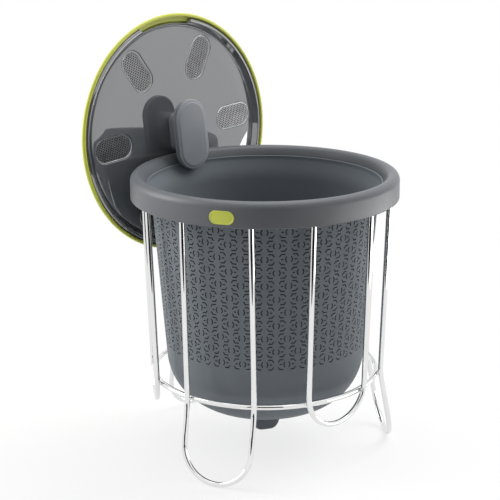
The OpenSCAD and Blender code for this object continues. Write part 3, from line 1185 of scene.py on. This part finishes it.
@dataclass
class Lid(ParkedPart):
    """Lime tray, glossy top plate with vent screens, and the charcoal filter."""

    plate_t: float = 2.4
    flat_r: float = 95.0
    channel: tuple[float, float, float] = (97.8, 98.6, -1.2)
    crest: tuple[float, float] = (103.4, 5.0)
    outer: tuple[float, float] = (105.7, 3.4)
    web: float = 1.0
    under_r: float = 102.0
    vent: tuple[float, float] = (23.0, 42.4)
    vent_r: float = 73.0
    notch_half: float = 15.6
    notch_r: float = 99.4
    pitch: float = 2.25
    hole: float = 0.425
    sheet_t: float = 0.3
    steps: int = 240
    filter: tuple[float, float, float] = (98.2, -10.7, -4.7)
    grille: tuple[float, float, float] = (-13.0, -11.0, 93.5)
    grille_slot: tuple[float, float, float] = (8.0, 60.5, 54.35)

    def _vent_turn(self, index: int) -> Matrix:
        """The move from the first vent's frame to another vent."""
        return turn_z(30 + 60 * index) @ Matrix.Translation((0, self.vent_r, 0))

    def plate(self) -> None:
        """Build the top plate: face, vents, channel, and lip with its notch."""
        form = Form()
        top, bottom = self.face_z, self.face_z - self.plate_t
        width, length = self.vent
        edge = ((1.2, top), (0.3, top - 0.35), (0.0, top - 0.8), (0.0, bottom))
        hole = [(width + wider, length + wider, z) for wider, z in edge]
        self._pierced(form, self.flat_r, [self._vent_turn(index) for index in range(6)], hole)
        annulus = Form()
        annulus.lathe(self._rim_section(), self.steps)
        annulus.warp(self._notched)
        form.join(annulus)
        middle = self.parked.matrix() @ Vector((0, 0, self.face_z)) * MM
        piece = ("lid_face_plate", replace(LID_GLOSS, centre=tuple(middle)))
        self.park(form, piece, ("lid_top_plate", Body.LID, "lid_gloss"), crease=28, reach=0.002)

    def _pierced(
        self, form: Form, flat_r: float, turns: Sequence[Matrix], hole: Sequence[tuple[float, float, float]]
    ) -> None:
        """Build the two faces of a flat disc with a slot through it at each turn.

        Args:
            form: The form that is added to.
            flat_r: The disc's radius.
            turns: The move of each slot.
            hole: Width, length and height of the slot's outlines, from one face to the other.
        """
        stacks = []
        for turn in turns:
            rings = [form.slot(*outline) for outline in hole]
            form.bridge(*rings)
            bmesh.ops.transform(form.bm, matrix=turn, verts=[v for ring in rings for v in ring])
            stacks.append(rings)
        for end in (0, -1):
            form.fill(form.disc(flat_r, hole[end][2], self.steps), *(rings[end] for rings in stacks))

    def _rim_section(self) -> list[Point2]:
        """Half section from the flat face over the channel and lip to the underside.

        Returns:
            The section's points.
        """
        top, bottom = self.face_z, self.face_z - self.plate_t
        in_r, out_r, low = self.channel
        return rounded([
            (self.flat_r, top, 0), (self.flat_r + 0.5, top, 0), (in_r - 0.6, top - 0.2, 1.6), (in_r, low, 0.8),
            (out_r, low, 0.6), (self.crest[0] - 1.4, self.crest[1] - 0.4, 1.2), (self.crest[0], self.crest[1], 0.8),
            (self.outer[0], self.outer[1], 1.2), (self.outer[0], self.web, 0.2), (self.under_r, self.web, 0.2),
            (self.under_r, -2.8, 0.2), (self.flat_r + 2.0, -2.8, 0.3), (self.flat_r + 1.2, bottom, 0.3),
            (self.flat_r, bottom, 0),
        ], 6)

    def _notched(self, point: Vector) -> Vector:
        """Draw the lip in and down where the finger notch is.

        Args:
            point: A point of the lip or channel.

        Returns:
            Its place with the notch.
        """
        radius = point.xy.length
        turn = math.degrees(math.atan2(-point.x, point.y))
        share = 1 - min(1.0, max(0.0, (abs(turn) - self.notch_half + 1.2) / 2.4))
        share = share * share * (3 - 2 * share)
        if radius <= self.notch_r or share == 0.0:
            return point
        drawn_r = self.notch_r + (radius - self.notch_r) * 0.12
        drawn_z = min(point.z, 0.4 + 0.1 * (point.z - 0.4)) if point.z > 0.4 else point.z
        new_r = radius + (drawn_r - radius) * share
        new_z = point.z + (drawn_z - point.z) * share
        way = point.xy / radius * new_r
        return Vector((way.x, way.y, new_z))

    def screens(self) -> None:
        """Build one perforated screen and set a copy in each vent."""
        form = self._perforated()
        form.join(self._screen_frame())
        first = form.object("screen_insert_1", SCREEN, crease=40)
        seats = []
        for index in range(6):
            piece = first
            if index:
                piece = bpy.data.objects.new(f"screen_insert_{index + 1}", first.data.copy())
                bpy.context.scene.collection.objects.link(piece)
            place = self.parked.matrix() @ self._vent_turn(index)
            place.translation *= MM
            seats.append((piece, place))
            settle(piece, f"vent_screen_{index + 1}", Body.LID, "screen_steel")
        for piece, place in seats:
            piece.data.transform(place)

    def _perforated(self) -> Form:
        """Make the sheet of small staggered holes from six-sided tiles.

        Returns:
            The sheet's form.
        """
        form = Form()
        bm = form.bm
        pitch, level = self.pitch, self.face_z - 0.75
        corner = pitch / math.sqrt(3)
        form.fill(form.disc(corner, level, 6, math.pi / 6), form.disc(pitch * self.hole, level, 8))
        width, length = self.vent[0] - 0.5, self.vent[1] - 0.5
        across, up = int(width / pitch) + 1, int(length / corner / 1.5) + 1
        tiles = form.row(form.everything(), 2 * across + 1, (pitch, 0, 0))
        for row in range(-up, up + 1):
            first = (row % 2 / 2 - across) * pitch
            height = row * corner * 1.5
            along = max(0.0, abs(height) - (length - width) / 2)
            kept = [
                g for i, tile in enumerate(tiles) for g in tile
                if math.hypot(first + i * pitch, along) < width / 2 + 0.1
            ]
            if kept:
                made = bmesh.ops.duplicate(bm, geom=kept)["geom"]
                bmesh.ops.translate(bm, verts=only_verts(made), vec=(first, height, 0))
        spare = [vert for tile in tiles for vert in only_verts(tile)]
        bmesh.ops.delete(bm, geom=spare, context="VERTS")
        bmesh.ops.remove_doubles(bm, verts=bm.verts[:], dist=0.01)
        sheet = bmesh.ops.extrude_face_region(bm, geom=bm.faces[:])["geom"]
        bmesh.ops.translate(bm, verts=only_verts(sheet), vec=(0, 0, -self.sheet_t))
        return form

    def _screen_frame(self) -> Form:
        """Make the rim that closes the lattice and seats under the plate.

        Returns:
            The rim's form.
        """
        form = Form()
        width, length = self.vent
        top, bottom = self.face_z - 0.4, self.face_z - self.plate_t
        rings = [form.slot(width + w, length + w, z) for w, z in (
            (-2.3, top - 0.5), (-2.0, top - 0.15), (-1.6, top), (-0.9, top), (-0.5, top - 0.2), (-0.4, bottom),
            (3.2, bottom), (3.2, bottom - 1.2), (-2.3, bottom - 1.2), (-2.3, top - 0.5),
        )]
        form.bridge(*rings)
        return form

    def tray(self) -> None:
        """Build the tray: round rim, plug skirt and slotted floor."""
        form = Form()
        floor_low, floor_top, flat_r = self.grille
        width, length, middle = self.grille_slot
        spokes = [turn_z(30 * i) @ Matrix.Translation((0, middle, 0)) for i in range(12)]
        self._pierced(form, flat_r, spokes, [(width, length, floor_low), (width, length, floor_top)])
        inside = rounded([
            (flat_r, floor_top, 0), (95.6, floor_top, 0.8), (99.4, -6.0, 0.8), (99.4, -3.0, 0.3), (102.2, -3.0, 0.3),
            (102.2, 0.8, 0.3), (106.2, 0.8, 0.3), (106.2, 3.6, 0),
        ], 4)
        outside = rounded([
            (109.0, 2.0, 0), (105.6, -2.6, 1.0), (102.6, -5.6, 1.0), (101.0, -7.0, 0.8), (97.2, floor_low, 1.6),
            (flat_r, floor_low, 0),
        ], 4)
        form.lathe(inside + arc((107.6, 3.1), 1.8, 130, -25, 16) + outside[1:], self.steps)
        self.park(form, ("lid_lime_tray", LIME), ("lid_tray", Body.TRAY, "lime_plastic"), crease=30, reach=0.002)

    def foam(self) -> None:
        """Build the foam disc that lies in the tray, with its cut edge chamfered."""
        form = Form()
        radius, low, high = self.filter
        form.lathe(rounded([
            (0.0, low, 0), (radius - 3.6, low, 0), (radius, low + 4.6, 0.6), (radius, high, 0.5), (0.0, high, 0),
        ]), self.steps)
        self.park(form, ("foam_disc", FOAM), ("charcoal_filter", Body.TRAY, "filter_foam"))


@dataclass
class Handle(ParkedPart):
    """The T-shaped handle that hooks over the rim."""

    back_z: float = 19.1
    back_t: float = 3.6
    width: float = 36.0
    length: float = 65.0
    stem: tuple[float, float] = (14.0, 35.6)

    def body(self) -> None:
        """Build the stem and the back half of the grip plate."""
        stem_w, stem_l = self.stem
        z, w, l = self.back_z, self.width, self.length
        form = Form()
        form.slot_stack([
            (stem_w, stem_l, self.face_z), (stem_w, stem_l, z - 1.2),
            (stem_w + 0.5, stem_l + 0.5, z - 0.4), (stem_w + 1.6, stem_l + 1.6, z),
            *((w - draw, l - draw, z + up) for draw, up in (
                (5.2, 0.0), (2.0, 0.35), (0.5, 1.2), (0.0, 2.2), (0.0, self.back_t - 0.5),
                (0.6, self.back_t), (1.8, self.back_t), (1.8, self.back_t + 0.85),
            )),
        ], 64)
        self.park(form, ("handle_back", HANDLE_GREY), ("handle_body", Body.LID, "handle_satin"), crease=50)

    def cap(self) -> None:
        """Build the front half of the grip plate, with its bare raised face."""
        z, w, l = self.back_z + self.back_t + 0.9, self.width, self.length
        form = Form()
        form.slot_stack([(w - draw, l - draw, z + up) for draw, up in (
            (1.6, 0.0), (0.5, 0.12), (0.0, 0.5), (0.0, 1.3), (0.5, 1.85), (1.6, 2.2), (2.8, 2.3),
            (4.6, 2.35), (5.4, 2.6), (6.4, 2.95), (7.6, 3.05),
        )], 64)
        self.park(form, ("handle_front", HANDLE_GREY), ("handle_cap", Body.LID, "handle_satin"), crease=50)


# ---------------------------------------------------------------------- studio


@dataclass
class Studio:
    """Camera, lamps, white surroundings, pale floor and two dark cards."""

    eye: tuple[float, float, float] = (367.1, -1180.1, 532.0)
    heading: tuple[float, float] = (-0.3073, 0.9516)
    tilt: float = -0.2770
    roll: float = -0.0049
    lens: float = 103.95
    floor_r: float = 6000.0
    lift: float = 0.74
    fade: tuple[float, float] = (0.2, 0.55)
    flag: tuple[float, float, float, float, float] = (480.0, 520.0, 1600.0, 3.0, 1100.0)
    fill: float = 0.45
    target: tuple[float, float, float] = (0.0, 0.0, 180.0)

    def camera(self) -> None:
        """Set the camera at the fitted viewpoint."""
        ahead = Vector((*self.heading, 0)).normalized() * math.cos(self.tilt) + Vector((0, 0, math.sin(self.tilt)))
        data = bpy.data.cameras.new("camera")
        data.lens = self.lens
        data.sensor_width = 36.0
        data.clip_end = 50.0
        made = bpy.data.objects.new("camera", data)
        turned = ahead.to_track_quat("-Z", "Y").to_matrix().to_4x4()
        made.matrix_world = Matrix.Translation(Vector(self.eye) * MM) @ turned @ Matrix.Rotation(self.roll, 4, "Z")
        bpy.context.scene.collection.objects.link(made)
        bpy.context.scene.camera = made

    def lamps(self) -> None:
        """Hang the soft boxes: place, size, power, and whether matt and glossy surfaces see them."""
        for name, place, size, power, matt, gloss in (
            ("softbox_left", (-1500, -420, 850), (1000, 1400), 22.0, True, True),
            ("softbox_right", (850, 820, 1250), (1000, 1000), 20.0, True, False),
            ("softbox_top", (0, 300, 1700), (1400, 1400), 10.0, True, True),
            ("softbox_low", (536, 164, 75), (700, 150), 1.3, False, True),
        ):
            data = bpy.data.lights.new(name, "AREA")
            data.shape = "RECTANGLE"
            data.size, data.size_y = (s * MM for s in size)
            data.energy = power
            made = bpy.data.objects.new(name, data)
            made.visible_camera = False
            made.visible_diffuse = matt
            made.visible_glossy = gloss
            spot = Vector(place) * MM
            aim = (Vector(self.target) * MM - spot).to_track_quat("-Z", "Y").to_matrix().to_4x4()
            made.matrix_world = Matrix.Translation(spot) @ aim
            bpy.context.scene.collection.objects.link(made)

    def surroundings(self) -> None:
        """Light the scene from all round, and show white to the eye and to gloss."""
        world = bpy.data.worlds.new("studio")
        bpy.context.scene.world = world
        world.use_nodes = True
        shader = Shader(world.node_tree)
        seen = self._seen(shader)
        fill, white = (
            shader.node("ShaderNodeBackground", {}, {"Color": (1, 1, 1, 1), "Strength": strength})
            for strength in (self.fill, 1.0)
        )
        both = shader.node("ShaderNodeMixShader", {}, {0: seen, 1: fill, 2: white})
        shader.node("ShaderNodeOutputWorld", {}, {"Surface": both})

    @staticmethod
    def _seen(shader: Shader) -> Wire:
        """1 for rays from the eye and for rays off gloss and glass.

        Args:
            shader: The shader that asks.

        Returns:
            The rays' mask.
        """
        path = {"kind": "ShaderNodeLightPath"}
        seen = ("Is Camera Ray", "Is Glossy Ray", "Is Transmission Ray")
        eye, gloss, glass = (shader.node(**path, output=name) for name in seen)
        return (eye + gloss + glass).clamped()

    def floor(self) -> None:
        """Lay the floor, lifted towards white, which keeps the object's shadow and fades away from it."""
        form = Form()
        form.cap(form.disc(self.floor_r, 0.0, 96))
        made, shader = bare_material("studio_floor")
        distance = shader.length(shader.place())
        far = (shader.band(distance, *self.fade) + self.lift).clamped() * self._seen(shader)
        paper = shader.noise(700, 3)
        shade = shader.blend(paper, (0.82, 0.82, 0.82), (0.86, 0.86, 0.86))
        matt = shader.node("ShaderNodeBsdfDiffuse", {}, {"Color": shade})
        white = shader.node("ShaderNodeEmission", {}, {"Color": (1, 1, 1, 1), "Strength": 1.0})
        both = shader.node("ShaderNodeMixShader", {}, {0: far, 1: matt, 2: white})
        shader.node("ShaderNodeOutputMaterial", {}, {"Surface": both})
        floor = form.object("studio_floor", CHROME)
        floor.data.materials[0] = made
        floor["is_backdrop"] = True

    def flags(self) -> None:
        """Stand two dark cards round the camera, which metal and gloss mirror as dark lines."""
        black, shader = bare_material("studio_flag")
        cloth = shader.noise(400, 2)
        shade = shader.blend(cloth, (0.01, 0.01, 0.01), (0.02, 0.02, 0.02))
        matt = shader.node("ShaderNodeBsdfDiffuse", {}, {"Color": shade})
        shader.node("ShaderNodeOutputMaterial", {}, {"Surface": matt})
        half, near, far, low, high = self.flag
        front = Matrix.Rotation(math.atan2(self.eye[0], -self.eye[1]), 4, "Z")
        for name, edges in (("flag_floor", ((near, low), (far, low))), ("flag_upright", ((far, low), (far, high)))):
            form = Form()
            (y0, z0), (y1, z1) = edges
            form.cap(form.ring([(-half, -y0, z0), (half, -y0, z0), (half, -y1, z1), (-half, -y1, z1)]))
            form.shift(front)
            card = form.object(name, CHROME)
            card.data.materials[0] = black
            card.visible_camera = False
            card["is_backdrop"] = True

    def build(self) -> None:
        """Set up everything that isn't the object."""
        bpy.context.scene.view_settings.view_transform = "Standard"
        self.camera()
        self.lamps()
        self.surroundings()
        self.floor()
        self.flags()


def dress_kept_nodes() -> None:
    """Give the CAD nodes that stay their finishes."""
    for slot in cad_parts["handle_screws"].material_slots:
        slot.material = SCREW.material()
    LOG.info("handle_screws: keeps its CAD shape, finish %s", SCREW.label)


def corners(box: tuple[Vector, Vector]) -> list[list[float]]:
    """A box's corners as plain lists."""
    return [[float(v) for v in corner] for corner in box]


def main() -> None:
    """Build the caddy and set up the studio."""
    stand = WireStand()
    stand.rings()
    stand.loops()
    Bucket().build()
    collar = Collar()
    collar.ring()
    collar.inlay()
    lid = Lid()
    lid.plate()
    lid.screens()
    lid.tray()
    lid.foam()
    handle = Handle()
    handle.body()
    handle.cap()
    dress_kept_nodes()
    Studio().build()
    {"cad": corners(CAD_BOX), "visual": corners(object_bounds())}


if __name__ == "__main__":
    main()
